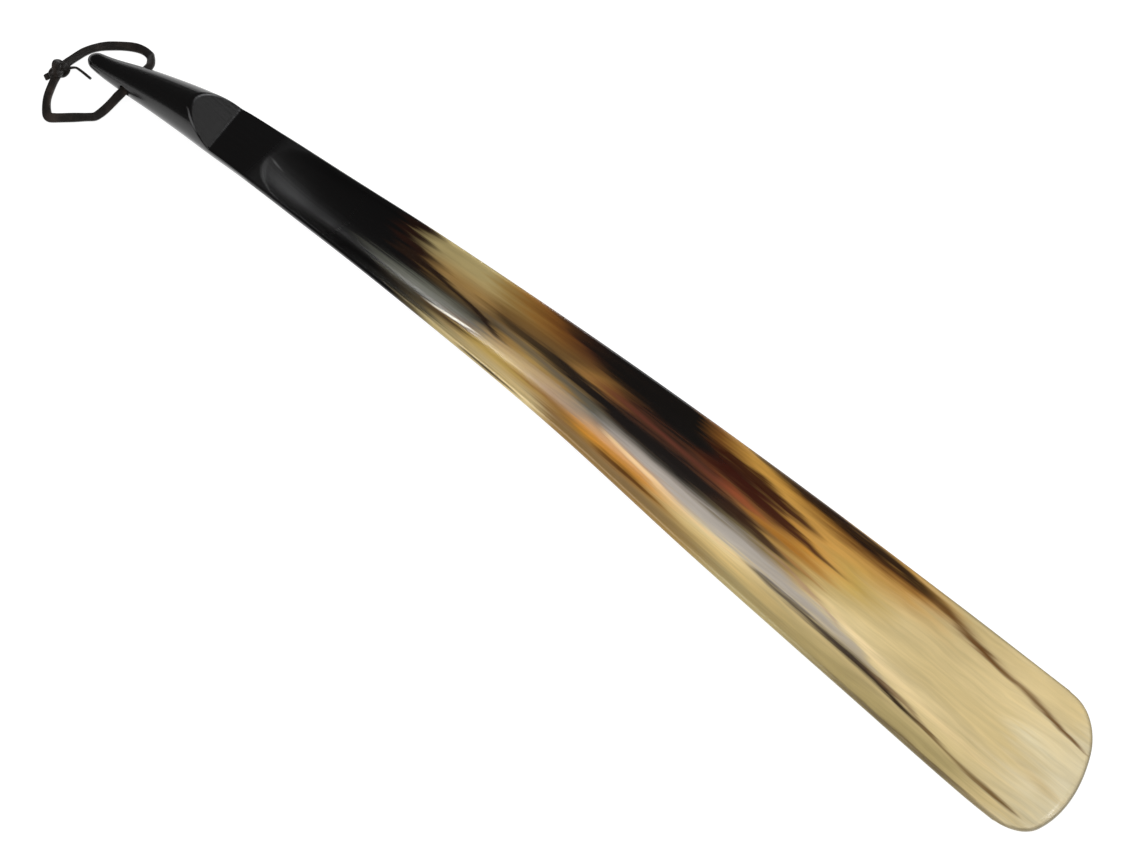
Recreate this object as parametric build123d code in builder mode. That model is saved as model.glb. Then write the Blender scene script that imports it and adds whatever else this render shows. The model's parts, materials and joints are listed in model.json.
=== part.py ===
"""Long shoehorn cut from one polished horn, with a leather thong through its tip.

Millimetres. +X runs from the tip to the blade, +Z is the open side of the trough,
and the origin is the bottom centre of the horn as it lies on its back.
"""

from build123d import *
from math import pi, radians, sqrt, tan
import os

# ---- the horn's sizes --------------------------------------------------------------
horn_length = 470.0
blade_width = 55.4
handle_width = 19.0  # across the round handle where the saw cut begins
tip_width = 5.8
arch_height = 13.0  # how far the middle of the back stands off the table
side_sweep = 2.0  # how far the middle swings to +Y, as natural horn does
start_wall = 5.4  # thickness at the bottom of the hollow near its start
blade_wall = 2.2  # the same in the blade
rim_wall = 1.5  # how much narrower than the horn the hollow is, each side
end_radius = 53.0  # the arc across the blade's end
end_aside = -6.5  # the arc's middle lies this far off the centre line
far_corner = 20.0  # radius from the end's arc into the +Y side
near_corner = 13.0  # the same on the -Y side
tip_round = 1.4

# ---- the saw cut that opens the trough, measured from the tip ------------------------
lip_from_tip = 53.0  # where the slope leaves the round handle
crease_from_tip = 68.0  # where the slope meets the flat
hollow_from_tip = 88.0  # where the hollow begins in the flat
cut_rise = 1.2  # the flat and the rims stand this far over the widest line
spoon_radius = 15.5  # cross radius of the hollow at its rounded start
spoon_length = 26.0  # how far the rounded start takes to reach the full width
cut_overrun = 16.0  # how far the cutting shapes reach past the horn
end_clearance = 0.4  # how far the end's outline stands clear of the blade's sides
bowl_over = 3.0  # the same over the rims, for the shape that cuts the hollow

# ---- the thong -----------------------------------------------------------------------
hole_from_tip = 22.5
hole_diameter = 4.4
lace_width = 3.2
lace_thickness = 1.4
cord_diameter = 2 * sqrt(lace_width * lace_thickness / pi)  # round, with the same section
tail_diameter = 1.4
knot_length = 7.6
knot_width = 5.6

tip_x = -horn_length / 2
tip_half, handle_half, blade_half = tip_width / 2, handle_width / 2, blade_width / 2
trough_length = horn_length - hollow_from_tip

# Round part and flat: distance from the tip, share of the way from the tip's half width
# to the handle's (past 1, on towards the blade's), belly under the widest line as a share
# of the half width, height of the back as a share of the arch, sideways place as a share
# of the sweep.
ROUND = [
    (0.0, 0.0, 1.0, 0.05, -0.80),
    (9.0, 0.2, 1.0, 0.0, -0.50),
    (hole_from_tip, 0.5, 1.0, 0.06, 0.10),
    (37.0, 0.75, 1.0, 0.19, 0.60),
    (lip_from_tip, 1.0, 1.0, 0.33, 0.95),
    (crease_from_tip, 1.08, 0.92, 0.46, 1.12),
    (hollow_from_tip, 1.125, 0.88, 0.64, 1.12),
]
# Trough: the same, with the distance as a share of the trough's length past its start,
# and the width as a share of the way from the handle's half width to the blade's.
TROUGH = [
    (0.08, 0.195, 0.82, 0.83, 0.95),
    (0.20, 0.315, 0.74, 0.98, 1.02),
    (0.40, 0.51, 0.62, 0.95, 1.13),
    (0.60, 0.755, 0.48, 0.64, 0.75),
    (0.80, 0.92, 0.41, 0.24, 0.40),
    (0.93, 1.00, 0.37, 0.04, -0.05),
    (1.00, 1.00, 0.36, 0.00, -0.15),
]


def half_width_at(share):
    """Half width: 0 the tip's, 1 the handle's, and 2 would be the blade's."""
    if share <= 1.0:
        return tip_half + share * (handle_half - tip_half)
    return handle_half + (share - 1.0) * (blade_half - handle_half)


rows = []
for from_tip, share, belly, lift, aside in ROUND:
    half = half_width_at(share)
    rows.append((from_tip, half, belly * half, lift * arch_height, aside * side_sweep))
for share, widening, belly, lift, aside in TROUGH:
    half = half_width_at(1.0 + widening)
    from_tip = hollow_from_tip + share * trough_length
    rows.append((from_tip, half, belly * half, lift * arch_height, aside * side_sweep))


def horn_at(from_tip):
    """Half width, belly, height of the back and sideways place, on smooth curves."""
    place = min(max(from_tip, 0.0), horn_length)
    number = max(i for i in range(len(rows) - 1) if rows[i][0] <= place)
    before, start, end, after = (rows[min(max(number + i, 0), len(rows) - 1)] for i in (-1, 0, 1, 2))
    step = end[0] - start[0]
    t = (place - start[0]) / step
    values = []
    for i in range(1, len(start)):
        leave = (end[i] - before[i]) / (end[0] - before[0]) * step
        arrive = (after[i] - start[i]) / (after[0] - start[0]) * step
        ease = (1 + 2 * t) * (1 - t) ** 2 * start[i] + t**2 * (3 - 2 * t) * end[i]
        values.append(ease + t * (1 - t) ** 2 * leave - t**2 * (1 - t) * arrive)
    return values


def widest_height(from_tip):
    """Height over the table of the widest line of the section."""
    half, belly, lift, middle = horn_at(from_tip)
    return lift + belly


def rim_height(from_tip):
    return widest_height(from_tip) + cut_rise


def bowl_at(from_tip):
    """Cross radius of the hollow, and how deep it lies under the rims (less than 0: over them)."""
    half, belly, lift, middle = horn_at(max(from_tip, hollow_from_tip + spoon_length))
    thinned = min(1.0, 1.5 * (from_tip - hollow_from_tip) / trough_length)
    depth = belly + cut_rise - start_wall - (blade_wall - start_wall) * max(thinned, 0.0)
    chord = half - rim_wall
    radius = (chord**2 + depth**2) / (2 * depth)
    into_spoon = (from_tip - hollow_from_tip) / spoon_length
    if into_spoon < 1.0:
        depth *= into_spoon * (2.0 - into_spoon)
        radius += (spoon_radius - radius) * (1.0 - max(into_spoon, 0.0))
    return radius, depth


def steps(start, end, count):
    return [start + (end - start) * i / count for i in range(count + 1)]


hole_x = tip_x + hole_from_tip
hole_y = horn_at(hole_from_tip)[3]
hole_z = widest_height(hole_from_tip)

# ---- horn ----------------------------------------------------------------------------
with BuildPart() as horn:
    # sections under the widest line are arcs as deep as the belly, over it half round
    for from_tip in [row[0] for row in ROUND[:-1]] + steps(hollow_from_tip, horn_length, 10):
        half, belly, lift, middle = horn_at(from_tip)
        wide = lift + belly
        crown = min(half, handle_half)
        with BuildSketch(Plane.YZ.offset(tip_x + from_tip)):
            with BuildLine():
                ThreePointArc((middle - half, wide), (middle, lift), (middle + half, wide))
                ThreePointArc((middle + half, wide), (middle, wide + crown), (middle - half, wide))
            make_face()
    loft()
    fillet(horn.edges().group_by(Axis.X)[0], radius=min(tip_round, 0.5 * tip_half))

    # the saw cut: a slope down from the handle's top, then the flat and the rim line
    crease = (tip_x + crease_from_tip, rim_height(crease_from_tip))
    rim_line = [(tip_x + d, rim_height(d)) for d in steps(hollow_from_tip, horn_length, 8)]
    lip_top = widest_height(lip_from_tip) + handle_half
    slope = (lip_top - crease[1]) / (crease_from_tip - lip_from_tip)
    over_lip = (tip_x + lip_from_tip - cut_overrun / slope, lip_top + cut_overrun)
    end_x = horn_length / 2 + cut_overrun
    with BuildSketch(Plane.XZ):
        with BuildLine():
            Line(over_lip, crease)
            Spline(crease, *rim_line)
            Polyline(rim_line[-1], (end_x, rim_line[-1][1]), (end_x, over_lip[1]), over_lip)
        make_face()
    extrude(amount=blade_width, both=True, mode=Mode.SUBTRACT)

    # the hollow: arcs that start over the flat and sink into it like a spoon's bowl, then
    # arcs along the trough
    spoon_end = hollow_from_tip + spoon_length
    spoon = steps(hollow_from_tip - 0.15 * spoon_length, spoon_end, 6)
    trough = steps(spoon_end, horn_length + cut_overrun, 15)
    for stretch in (spoon, trough):
        for from_tip in stretch:
            middle = horn_at(from_tip)[3]
            rim = rim_height(from_tip)
            radius, depth = bowl_at(from_tip)
            chord = sqrt(radius**2 - (radius - depth - bowl_over) ** 2)
            left, right = (middle - chord, rim + bowl_over), (middle + chord, rim + bowl_over)
            with BuildSketch(Plane.YZ.offset(tip_x + from_tip)):
                with BuildLine():
                    ThreePointArc(left, (middle, rim - depth), right)
                    Line(right, left)
                make_face()
        loft(mode=Mode.SUBTRACT)

    # the blade's rounded end: one wide arc, and a corner arc into each side
    with BuildSketch(Plane.XY):
        arc_x = horn_length / 2 - end_radius
        far_y, near_y = blade_half + end_clearance, -blade_half - end_clearance
        far_x = arc_x + sqrt(end_radius**2 - (far_y - end_aside) ** 2)
        near_x = arc_x + sqrt(end_radius**2 - (near_y - end_aside) ** 2)
        with BuildLine():
            ThreePointArc((far_x, far_y), (horn_length / 2, end_aside), (near_x, near_y))
            Polyline((near_x, near_y), (arc_x, near_y), (arc_x, far_y), (far_x, far_y))
        make_face()
        corners = vertices().group_by(Axis.X)
        fillet(corners[-1], radius=near_corner)
        fillet(vertices().sort_by_distance((far_x, far_y))[0], radius=far_corner)
        with Locations((arc_x - horn_length / 2, 0)):
            Rectangle(horn_length, 2 * blade_width)
    extrude(amount=2 * (lip_top + cut_overrun), both=True, mode=Mode.INTERSECT)

    # the hole for the thong
    with BuildSketch(Plane.XZ):
        with Locations((hole_x, hole_z)):
            Circle(hole_diameter / 2)
    extrude(amount=handle_width, both=True, mode=Mode.SUBTRACT)
horn.part.label = "horn"

# ---- thong ---------------------------------------------------------------------------
# Each leg runs from the middle of the hole to the knot: x and y from the hole's middle,
# and the height over the table.
FAR_LEG = [
    (0.0, 0.0, hole_z),
    (0.0, 8.4, hole_z),
    (-2.6, 12.2, 5.4),
    (-7.0, 14.4, 3.5),
    (-12.6, 13.9, 2.2),
    (-18.4, 10.6, 1.8),
    (-23.6, 6.0, 1.7),
    (-26.6, 0.2, 1.7),
    (-27.4, -5.4, 1.9),
    (-27.8, -10.4, 2.5),
]
NEAR_LEG = [
    (0.0, 0.0, hole_z),
    (0.0, -8.0, hole_z),
    (-0.9, -11.4, 4.4),
    (-1.7, -15.2, 2.5),
    (-2.8, -19.0, 1.8),
    (-6.4, -22.4, 1.7),
    (-10.4, -26.6, 1.7),
    (-14.6, -30.2, 1.7),
    (-18.8, -29.6, 1.7),
    (-21.8, -26.2, 1.7),
    (-24.4, -21.2, 1.8),
    (-26.4, -16.0, 2.4),
]
LONG_TAIL = [(-26.2, -11.0, 2.1), (-24.4, -7.9, 1.3), (-21.0, -6.9, 1.1), (-16.6, -7.7, 1.0)]
SHORT_TAIL = [(-28.4, -15.0, 2.1), (-28.9, -17.0, 1.5), (-29.8, -19.0, 1.2)]
knot_x, knot_y, knot_z = hole_x - 27.6, hole_y - 13.2, knot_width / 2


def on_table(route):
    """A route's points in the horn's own frame."""
    return [Vector(hole_x + x, hole_y + y, z) for x, y, z in route]


def corner_radii(points):
    """The largest arcs that fit the runs: 0.45 of the shorter one over tan of half the turn."""
    radii = []
    for a, b, c in zip(points, points[1:], points[2:]):
        shorter = min((b - a).length, (c - b).length)
        radii.append(0.45 * shorter / tan(radians((b - a).get_angle(c - b)) / 2))
    return radii


def print_cord(name, part, length, diameter):
    volume = pi * diameter**2 / 4 * length
    print(f"{name}: length {length:.1f}, volume {part.volume:.1f}, section x length {volume:.1f}")


def round_cord(name, route, diameter):
    """A round cord along the route's runs and arcs."""
    points = on_table(route)
    radii = corner_radii(points)
    with BuildPart() as cord:
        with BuildLine() as path:
            FilletPolyline(*points, radius=radii)
        with BuildSketch(path.line ^ 0):
            Circle(diameter / 2)
        sweep()
    print(name, "arcs", [round(radius, 1) for radius in radii])
    print_cord(name, cord.part, path.wires()[0].length, diameter)
    cord.part.label = name
    return cord


thong_far_leg = round_cord("thong_far_leg", FAR_LEG, cord_diameter)
thong_near_leg = round_cord("thong_near_leg", NEAR_LEG, cord_diameter)
thong_long_tail = round_cord("thong_long_tail", LONG_TAIL, tail_diameter)
thong_short_tail = round_cord("thong_short_tail", SHORT_TAIL, tail_diameter)

# the knot is drawn up round the legs and the tails, so it has their shape in it
with BuildPart() as thong_knot:
    knot_centre = (knot_x, knot_y, knot_z)
    with BuildSketch(Plane(origin=knot_centre, x_dir=(0, 1, 0), z_dir=(1, 0, 0))):
        Ellipse(knot_length / 2, knot_width / 2)
        Rectangle(knot_length, knot_width, align=(Align.CENTER, Align.MAX), mode=Mode.SUBTRACT)
    revolve(axis=Axis(knot_centre, (0, 1, 0)))
    for cord in (thong_far_leg, thong_near_leg, thong_long_tail, thong_short_tail):
        add(cord.part, mode=Mode.SUBTRACT)
thong_knot.part.label = "thong_knot"

os.makedirs("parts", exist_ok=True)
for piece in (horn, thong_far_leg, thong_near_leg, thong_knot, thong_long_tail, thong_short_tail):
    export_step(piece.part, f"parts/{piece.part.label}.step")
print("hole", hole_x, round(hole_y, 3), round(hole_z, 3), "horn volume", round(horn.part.volume))
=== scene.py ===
"""A long shoehorn of polished natural horn with a knotted leather thong, on a white table.

The shapes are worked out in millimetres and become metres when a mesh is made. `place` is
the distance from the horn's tip towards its blade, and `y` lies across it, + to the far side.
"""

import json
import math

import bpy
import numpy as np
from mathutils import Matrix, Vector


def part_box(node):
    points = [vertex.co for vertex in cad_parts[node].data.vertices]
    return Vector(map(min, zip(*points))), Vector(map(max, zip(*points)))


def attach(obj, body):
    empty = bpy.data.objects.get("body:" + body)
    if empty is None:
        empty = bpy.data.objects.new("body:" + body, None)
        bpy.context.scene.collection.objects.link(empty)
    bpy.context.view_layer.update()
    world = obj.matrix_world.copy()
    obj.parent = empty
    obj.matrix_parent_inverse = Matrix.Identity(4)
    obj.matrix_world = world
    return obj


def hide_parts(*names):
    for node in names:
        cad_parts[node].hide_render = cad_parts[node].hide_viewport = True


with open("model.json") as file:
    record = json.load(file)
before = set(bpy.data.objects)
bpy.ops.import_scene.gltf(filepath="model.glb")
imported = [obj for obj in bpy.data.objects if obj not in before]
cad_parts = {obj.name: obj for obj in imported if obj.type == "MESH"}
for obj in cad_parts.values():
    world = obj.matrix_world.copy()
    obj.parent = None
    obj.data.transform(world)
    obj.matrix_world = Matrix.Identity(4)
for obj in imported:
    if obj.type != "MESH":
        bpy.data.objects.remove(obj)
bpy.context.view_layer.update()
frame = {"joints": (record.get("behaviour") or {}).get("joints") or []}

MM = 0.001
horn_low, horn_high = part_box("horn")
knot_low, knot_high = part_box("thong_knot")
TIP_X = horn_low.x / MM
LENGTH = (horn_high.x - horn_low.x) / MM
HINGE = next(joint for joint in frame["joints"] if joint["name"] == "thong_swing")
HOLE = [value / MM for value in HINGE["pos_m"]]

# ---- camera and route of the thong -----------------------------------------------------
VIEW_FROM = (41.2, 60.0)  # degrees round from -Y, and degrees up from the table
VIEW_TO = Vector((0.0108, -0.0057, 0.008))
VIEW_DISTANCE = 1.5
LENS = 132.05

# x and y from the hole's middle and the height over the table, close along the CAD thong
FAR_LEG = [
    (0.0, 0.0, 6.98),
    (0.0, 8.4, 6.98),
    (-2.4, 11.2, 5.6),
    (-4.5, 13.0, 4.4),
    (-5.3, 13.5, 4.1),
    (-9.2, 14.2, 3.0),
    (-13.6, 13.2, 2.2),
    (-18.4, 10.1, 1.8),
    (-23.4, 5.7, 1.7),
    (-26.6, 0.2, 1.7),
    (-27.4, -5.4, 1.9),
    (-27.8, -10.4, 2.5),
]
NEAR_LEG = [
    (0.0, 0.0, 6.98),
    (0.0, -8.0, 6.98),
    (-0.9, -11.4, 4.4),
    (-1.7, -15.2, 2.5),
    (-2.4, -18.6, 1.8),
    (-3.0, -19.8, 1.8),
    (-4.2, -20.8, 1.7),
    (-10.4, -26.6, 1.7),
    (-14.4, -30.3, 1.7),
    (-15.8, -31.0, 1.7),
    (-17.6, -30.2, 1.7),
    (-21.8, -26.0, 1.7),
    (-24.4, -21.2, 1.8),
    (-26.4, -16.0, 2.4),
]
LONG_TAIL = [(-26.2, -11.0, 2.1), (-24.8, -8.2, 1.5), (-23.0, -7.4, 1.2), (-16.6, -7.7, 1.1)]
SHORT_TAIL = [(-28.4, -15.0, 2.1), (-28.9, -17.0, 1.5), (-29.8, -19.0, 1.2)]

LACE_WIDTH = 3.5
LACE_THICKNESS = 1.4

# ---- sizes of the horn -----------------------------------------------------------------
TIP_HALF, HANDLE_HALF, BLADE_HALF = 2.9, 9.5, 27.7
ARCH_HEIGHT, SIDE_SWEEP = 13.0, 2.0
HOLLOW_SECTION = 88.0  # where the tables below pass from the handle to the trough
LIP, CREASE, HOLLOW = 53.6, 68.6, 91.0  # where the slope, the flat and the hollow begin
CREASE_SKEW = 0.2  # the saw ran this much askew, so that the crease isn't quite square
CUT_RISE = 1.2
START_WALL, BLADE_WALL, RIM_WALL = 5.4, 2.2, 1.5
SPOON_RADIUS, SPOON_LENGTH = 15.5, 26.0
END_RADIUS, END_ASIDE = 53.0, -6.5
FAR_CORNER, NEAR_CORNER = 20.0, 13.0
TIP_ROUND = 4.0
HOLE_DIAMETER = 4.4
EDGE_ROUND = 0.8
EDGE_THINNING, THINNED_OVER = 0.7, 12.0
CORNER_SOFTNESS = 0.9

# place, share of the width (0 tip, 1 handle), then shares of the belly, arch and sweep
ROUND = [
    (0.0, 0.0, 1.0, 0.05, -0.80),
    (9.0, 0.2, 1.0, 0.0, -0.50),
    (22.5, 0.5, 1.0, 0.06, 0.10),
    (37.0, 0.75, 1.0, 0.19, 0.60),
    (53.0, 1.0, 1.0, 0.33, 0.95),
    (68.0, 1.08, 0.92, 0.46, 1.12),
    (HOLLOW_SECTION, 1.125, 0.88, 0.64, 1.12),
]
# share of the trough's length, widening (0 handle, 1 blade), then the same three
TROUGH = [
    (0.08, 0.195, 0.82, 0.83, 0.95),
    (0.20, 0.315, 0.74, 0.98, 1.02),
    (0.40, 0.51, 0.62, 0.95, 1.13),
    (0.60, 0.755, 0.48, 0.64, 0.75),
    (0.80, 0.92, 0.41, 0.24, 0.40),
    (0.93, 1.00, 0.37, 0.04, -0.05),
    (1.00, 1.00, 0.36, 0.00, -0.15),
]


# ---- the object's shapes ---------------------------------------------------------------
def ease(share):
    share = np.clip(share, 0.0, 1.0)
    return share * share * (3.0 - 2.0 * share)


def soft_min(a, b, reach):
    """The lower of two heights, with the corner between them rounded over `reach`."""
    near = np.clip(reach - np.abs(a - b), 0.0, None) / reach
    return np.minimum(a, b) - near * near * reach / 4.0


def half_width(share):
    """Half width: 0 the tip's, 1 the handle's, and 2 the blade's."""
    if share <= 1.0:
        return TIP_HALF + share * (HANDLE_HALF - TIP_HALF)
    return HANDLE_HALF + (share - 1.0) * (BLADE_HALF - HANDLE_HALF)


def known_sections():
    """Place, half width, belly, height of the back and sideways place of each known section."""
    handle = [(place, half_width(share), *rest) for place, share, *rest in ROUND]
    trough = [
        (HOLLOW_SECTION + share * (LENGTH - HOLLOW_SECTION), half_width(1.0 + widening), *rest)
        for share, widening, *rest in TROUGH]
    return np.array([
        (place, half, belly * half, arch * ARCH_HEIGHT, sweep * SIDE_SWEEP)
        for place, half, belly, arch, sweep in handle + trough])


SECTIONS = known_sections()


def section_at(place):
    """Half width, belly, back and middle of the horn: cubic curves through SECTIONS, whose
    slope at each section is that of the line between its two neighbours."""
    at = SECTIONS[:, 0]
    slopes = np.empty_like(SECTIONS)
    slopes[1:-1] = (SECTIONS[2:] - SECTIONS[:-2]) / (at[2:] - at[:-2])[:, None]
    slopes[0] = (SECTIONS[1] - SECTIONS[0]) / (at[1] - at[0])
    slopes[-1] = (SECTIONS[-1] - SECTIONS[-2]) / (at[-1] - at[-2])
    place = np.clip(np.asarray(place, float), 0.0, LENGTH)
    number = np.clip(np.searchsorted(at, place, side="right") - 1, 0, len(at) - 2)
    step = (at[number + 1] - at[number])[..., None]
    t = (place - at[number])[..., None] / step
    value = (1 + 2 * t) * (1 - t) ** 2 * SECTIONS[number] + t**2 * (3 - 2 * t) * SECTIONS[number + 1]
    value += t * (1 - t) ** 2 * step * slopes[number] - t**2 * (1 - t) * step * slopes[number + 1]
    return value[..., 1], value[..., 2], value[..., 3], value[..., 4]


def corner_arc(side, radius):
    """Middle of the arc that runs from the blade's end into one side."""
    half, _, _, middle = section_at(LENGTH)
    y = middle + side * (half - radius)
    x = LENGTH - END_RADIUS + math.sqrt((END_RADIUS - radius) ** 2 - (y - END_ASIDE) ** 2)
    return x, y


def outline_at(place, side, radius):
    """Edge of the horn seen from above: its half width, then a corner arc, then the end's arc."""
    half, _, _, middle = section_at(place)
    x, y = corner_arc(side, radius)
    end_x = LENGTH - END_RADIUS
    meets = end_x + (x - end_x) * END_RADIUS / (END_RADIUS - radius)
    corner = y + side * np.sqrt(np.clip(radius**2 - (place - x) ** 2, 0.0, None))
    end = END_ASIDE + side * np.sqrt(np.clip(END_RADIUS**2 - (place - end_x) ** 2, 0.0, None))
    return np.where(place < x, middle + side * half, np.where(place < meets, corner, end))


def edge_distance(place, y):
    """How far a point lies inside the outline, measured square to the nearest edge."""
    half, _, _, middle = section_at(place)
    end_x = LENGTH - END_RADIUS
    from_end = END_RADIUS - np.hypot(np.clip(place - end_x, 0.0, None), y - END_ASIDE)
    inside = np.minimum(half - np.abs(y - middle), from_end)
    for side, radius in ((1, FAR_CORNER), (-1, NEAR_CORNER)):
        x, corner_y = corner_arc(side, radius)
        past_arc = side * ((x - end_x) * (y - END_ASIDE) - (corner_y - END_ASIDE) * (place - end_x)) > 0
        in_corner = (place > x) & past_arc
        inside = np.where(in_corner, radius - np.hypot(place - x, y - corner_y), inside)
    return np.clip(inside, 0.0, None)


def horn_heights(place, y):
    """Back and front of the horn over the table.

    The back is an arc as deep as the belly. The front is the lowest of a half round, the saw
    cut's slope and flat, and the hollow, an arc across that sinks into the flat like a
    spoon's bowl. Where they cross, the corner is polished round.
    """
    half, belly, lift, middle = section_at(place)
    across = y - middle
    wide = lift + belly
    back_radius = (half**2 + belly**2) / (2 * belly)
    back = lift + back_radius - np.sqrt(np.clip(back_radius**2 - across**2, 0.0, None))
    dome = wide + np.sqrt(np.clip(half**2 - across**2, 0.0, None))

    _, lip_belly, lip_lift, _ = section_at(LIP)
    _, crease_belly, crease_lift, _ = section_at(CREASE)
    lip_top = lip_lift + lip_belly + HANDLE_HALF
    crease_top = crease_lift + crease_belly + CUT_RISE
    before_crease = CREASE - CREASE_SKEW * across - place
    slope = crease_top + (lip_top - crease_top) * before_crease / (CREASE - LIP)
    rim = wide + CUT_RISE
    cut = -soft_min(-slope, -rim, 0.5)
    front = soft_min(dome, cut, CORNER_SOFTNESS)

    bowl_half, bowl_belly, _, _ = section_at(np.maximum(place, HOLLOW + SPOON_LENGTH))
    thinned = np.clip(1.5 * (place - HOLLOW) / (LENGTH - HOLLOW), 0.0, 1.0)
    depth = bowl_belly + CUT_RISE - START_WALL - (BLADE_WALL - START_WALL) * thinned
    chord = bowl_half - RIM_WALL
    radius = (chord**2 + depth**2) / (2 * depth)
    into = (place - HOLLOW) / SPOON_LENGTH
    depth = np.where(into < 1, depth * into * (2 - into), depth)
    radius = np.where(into < 1, radius + (SPOON_RADIUS - radius) * (1 - np.clip(into, 0, 1)), radius)
    bowl = rim - depth + radius - np.sqrt(np.clip(radius**2 - across**2, 0.0, None))
    front = np.where(into > -0.3, soft_min(front, bowl, CORNER_SOFTNESS), front)
    return back, front


def ring_places():
    """Places of the rings along the horn, close together at the tip, the cut and the end."""
    rounded = TIP_ROUND * (np.arange(1, 15) / 14.0) ** 2
    flats = [np.arange(start, stop, step) for start, stop, step in (
        (TIP_ROUND + 0.6, 50.0, 1.6), (50.0, 72.0, 0.4), (72.0, 86.0, 1.0), (86.0, 112.0, 0.4),
        (112.0, 440.0, 2.2), (440.0, LENGTH - 10.0, 1.0))]
    last = LENGTH - 10.0 * (np.arange(40, 0, -1) / 40.0) ** 2
    return np.concatenate([rounded, *flats, last])


def horn_mesh():
    """The horn as rings of points, each across the back from the near edge to the far one and
    home over the front, closed by a fan at the tip and at the blade's end. Points sit close
    together at the edges: y is the ring's half width times the sine of an even angle."""
    places = ring_places()
    across = 96
    angle = np.linspace(-math.pi / 2, math.pi / 2, across)
    swing = np.sin(np.concatenate([angle, angle[-2:0:-1]]))
    on_back = np.arange(len(swing)) < across
    near, far = outline_at(places, -1, NEAR_CORNER), outline_at(places, 1, FAR_CORNER)
    place = places[:, None] * np.ones(len(swing))
    y = (near + far)[:, None] / 2 + (far - near)[:, None] / 2 * swing

    back, front = horn_heights(place, y)
    inside = edge_distance(place, y)
    to_end = LENGTH - place
    front = front - EDGE_THINNING * ease(1 - to_end / THINNED_OVER) * ease(inside / 3.0)
    rounding = EDGE_ROUND * ease((place - CREASE + 6.0) / 30.0) + 1e-6
    full = np.sqrt(1 - (1 - np.clip(inside / rounding, 0, 1)) ** 2)
    level, half_thick = (back + front) / 2, np.clip(front - back, 0, None) / 2 * full
    z = np.where(on_back, level - half_thick, level + half_thick)

    half, belly, lift, middle = section_at(place)
    cap = np.sqrt(1 - (1 - np.clip(place / TIP_ROUND, 0, 1)) ** 2.2)
    y = middle + (y - middle) * cap
    z = lift + belly + (z - lift - belly) * cap

    aside = (y - middle) / half
    points = np.stack([place + TIP_X, y, z], -1).reshape(-1, 3)
    _, tip_belly, tip_lift, tip_middle = section_at(0.0)
    end_back, end_front = horn_heights(np.array(LENGTH), np.array(END_ASIDE))
    tip = (TIP_X, float(tip_middle), float(tip_lift + tip_belly))
    end = (TIP_X + LENGTH, END_ASIDE, float(end_back + end_front - EDGE_THINNING) / 2)
    points = np.vstack([points, tip, end])

    rings, count = len(places), len(swing)
    here = np.arange(rings * count).reshape(rings, count)
    after = np.roll(here, -1, axis=1)
    quads = np.stack([here[:-1], here[1:], after[1:], after[:-1]], -1).reshape(-1, 4)
    tip_fan = np.stack([np.full(count, len(points) - 2), here[0], after[0]], -1)
    end_fan = np.stack([np.full(count, len(points) - 1), after[-1], here[-1]], -1)
    grain = np.stack([place / LENGTH, 0.5 + 0.5 * aside], -1).reshape(-1, 2)
    grain = np.vstack([grain, (0.0, 0.5), (1.0, 0.5 + 0.5 * (END_ASIDE / half[-1, 0]))])
    faces = [*map(tuple, quads), *map(tuple, tip_fan), *map(tuple, end_fan)]
    horn = make_piece("polished_horn", points, faces, grain)
    to_edge = horn.data.attributes.new("to_edge", "FLOAT", "POINT")
    to_edge.data.foreach_set("value", np.append(inside.ravel(), (1.0, 0.0)))
    return horn


def make_piece(name, points, faces, grain=None):
    """A mesh object from points in millimetres, smooth, with an optional UV for each point."""
    mesh = bpy.data.meshes.new(name)
    mesh.from_pydata((np.asarray(points) * MM).tolist(), [], [list(map(int, face)) for face in faces])
    mesh.update()
    mesh.polygons.foreach_set("use_smooth", np.ones(len(mesh.polygons), bool))
    if grain is not None:
        corner = np.empty(len(mesh.loops), np.int32)
        mesh.loops.foreach_get("vertex_index", corner)
        mesh.uv_layers.new(name="grain").data.foreach_set("uv", np.asarray(grain)[corner].ravel())
    mesh.validate()
    piece = bpy.data.objects.new(name, mesh)
    bpy.context.scene.collection.objects.link(piece)
    return piece


def settle(piece):
    """Replaces a piece's mesh by what its modifiers make of it."""
    shown = piece.evaluated_get(bpy.context.evaluated_depsgraph_get())
    mesh = bpy.data.meshes.new_from_object(shown)
    piece.modifiers.clear()
    piece.data = mesh


def drill_hole(horn):
    """Cuts the thong's hole: a turned plug along Y, whose radius widens at both mouths as the
    lace has worn them: the hole's radius plus a quarter round past the horn's side."""
    half, _, _, middle = section_at(HOLE[0] - TIP_X)
    mouth = 0.9
    along = np.linspace(-half - 3.0, half + 3.0, 61)
    worn = np.clip((np.abs(along) - half + mouth) / mouth, 0.0, 1.6)
    radius = HOLE_DIAMETER / 2 + mouth * (1 - np.sqrt(np.clip(1 - np.minimum(worn, 1.0) ** 2, 0, 1)))
    turn = np.linspace(0, 2 * math.pi, 48, endpoint=False)
    points = np.stack([
        HOLE[0] + radius[:, None] * np.cos(turn),
        middle + along[:, None] * np.ones(len(turn)),
        HOLE[2] + radius[:, None] * np.sin(turn)], -1).reshape(-1, 3)
    here = np.arange(len(points)).reshape(len(along), len(turn))
    after = np.roll(here, -1, axis=1)
    faces = [*np.stack([here[:-1], here[1:], after[1:], after[:-1]], -1).reshape(-1, 4).tolist()]
    faces += [here[0].tolist(), here[-1][::-1].tolist()]
    plug = make_piece("plug", points, faces)
    cut = horn.modifiers.new("hole", "BOOLEAN")
    cut.operation, cut.solver, cut.object = "DIFFERENCE", "EXACT", plug
    settle(horn)
    bpy.data.objects.remove(plug)


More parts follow.
